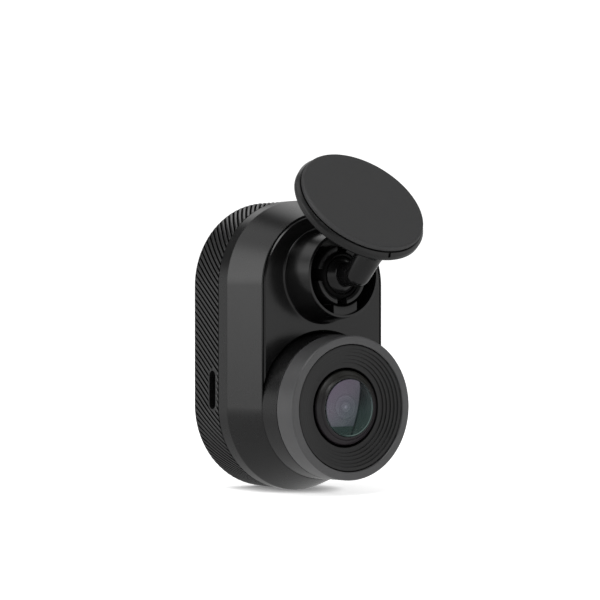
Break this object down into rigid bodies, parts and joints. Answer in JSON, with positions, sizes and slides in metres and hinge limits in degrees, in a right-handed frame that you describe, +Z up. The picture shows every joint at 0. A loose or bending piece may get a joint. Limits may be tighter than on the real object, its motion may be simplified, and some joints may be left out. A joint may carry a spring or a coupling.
{
  "type": "dash camera",
  "caption": "Small pill-shaped windscreen dash camera with a round lens barrel, a ball joint and an adhesive disc mount.",
  "frame": {"origin": "centre of the adhesive face of the windscreen disc", "axes": "+Z up with the camera upright, -Y the way the lens looks, +X to the camera's left side as seen from behind the lens"},
  "size_m": [0.0314, 0.0405, 0.0607],
  "materials": {
    "adhesive_pad": "matt black adhesive foam face, very fine grain",
    "mount_disc": "satin black moulded plastic",
    "ball_arm": "semi-gloss black moulded plastic",
    "steel_screw": "plain steel",
    "liner": "dull black low-friction plastic",
    "socket_plastic": "satin black moulded plastic",
    "panel": "fine satin black moulded plastic",
    "cover": "matt black moulded plastic with fine slanted ribs round its side",
    "housing": "satin black moulded plastic",
    "lens_ring": "satin dark grey, slightly lighter than the housing",
    "baffle": "matt black moulded plastic",
    "lens_black": "matt black anodised look",
    "lens_glass": "coated optical glass, violet and green reflections",
    "filter_glass": "pale blue-green coated glass",
    "sensor": "glossy dark sensor window",
    "board": "green solder mask",
    "flex": "amber flexible circuit",
    "chip": "matt black epoxy",
    "tinned_steel": "tinned sheet steel",
    "cell": "wrapped cell, blue-grey sleeve",
    "foam": "black foam",
    "speaker": "black speaker with a paper-like cone",
    "led": "clear resin over a pale body",
    "light_pipe": "frosted clear plastic",
    "antenna": "gilded contact plate",
    "retainer_plate": "plain steel pressing",
    "button": "satin black moulded plastic",
    "card": "matt black card with no print"
  },
  "bodies": {
    "mount": {"adhesive_pad": "adhesive_pad", "mount_disc": "mount_disc", "ball_arm": "ball_arm", "arm_screw": "steel_screw"},
    "liner": {"socket_liner": "liner"},
    "collet": {"socket_collet": "socket_plastic"},
    "camera": {"rear_cover": "cover", "front_housing": "housing", "front_panel": "panel", "lens_ring": "lens_ring", "lens_baffle": "baffle", "lens_retainer": "lens_black", "front_lens": "lens_glass", "lens_element_2": "lens_glass", "aperture_stop": "lens_black", "lens_element_3": "lens_glass", "lens_element_4": "lens_glass", "lens_barrel": "lens_black", "lens_holder": "lens_black", "holder_screw_1": "steel_screw", "holder_screw_2": "steel_screw", "holder_screw_3": "steel_screw", "ir_filter": "filter_glass", "image_sensor": "sensor", "sensor_board": "board", "sensor_screw_1": "steel_screw", "sensor_screw_2": "steel_screw", "sensor_flex": "flex", "main_board": "board", "board_screw_1": "steel_screw", "board_screw_2": "steel_screw", "board_screw_3": "steel_screw", "processor": "chip", "memory_chip": "chip", "shield_can": "tinned_steel", "backup_cell": "cell", "foam_pad": "foam", "speaker": "speaker", "microphone": "tinned_steel", "led_left": "led", "led_right": "led", "light_pipe_left": "light_pipe", "light_pipe_right": "light_pipe", "button_switch": "tinned_steel", "usb_socket": "tinned_steel", "card_socket": "tinned_steel", "wifi_antenna": "antenna", "socket_retainer": "retainer_plate", "retainer_screw_left": "steel_screw", "retainer_screw_right": "steel_screw"},
    "button": {"action_button": "button"},
    "card": {"memory_card": "card"}
  },
  "joints": [
    {"name": "ball_pan", "type": "hinge", "parent": "mount", "child": "liner", "pos_m": [0, 0.00895, -0.01315], "axis": [0, 0, 1], "range_deg": [-22, 22]},
    {"name": "ball_tilt", "type": "hinge", "parent": "liner", "child": "collet", "pos_m": [0, 0.00895, -0.01315], "axis": [1, 0, 0], "range_deg": [-25, 25]},
    {"name": "ball_roll", "type": "hinge", "parent": "collet", "child": "camera", "pos_m": [0, 0.00895, -0.01315], "axis": [0, 1, 0], "range_deg": [-45, 45]},
    {"name": "button_press", "type": "slide", "parent": "camera", "child": "button", "axis": [0, -1, 0], "range_m": [0, 0.0005], "stiffness_N_per_m": 1500, "springref_m": -0.0006},
    {"name": "card_slide", "type": "slide", "parent": "camera", "child": "card", "axis": [1, 0, 0], "range_m": [0, 0.012]}
  ]
}
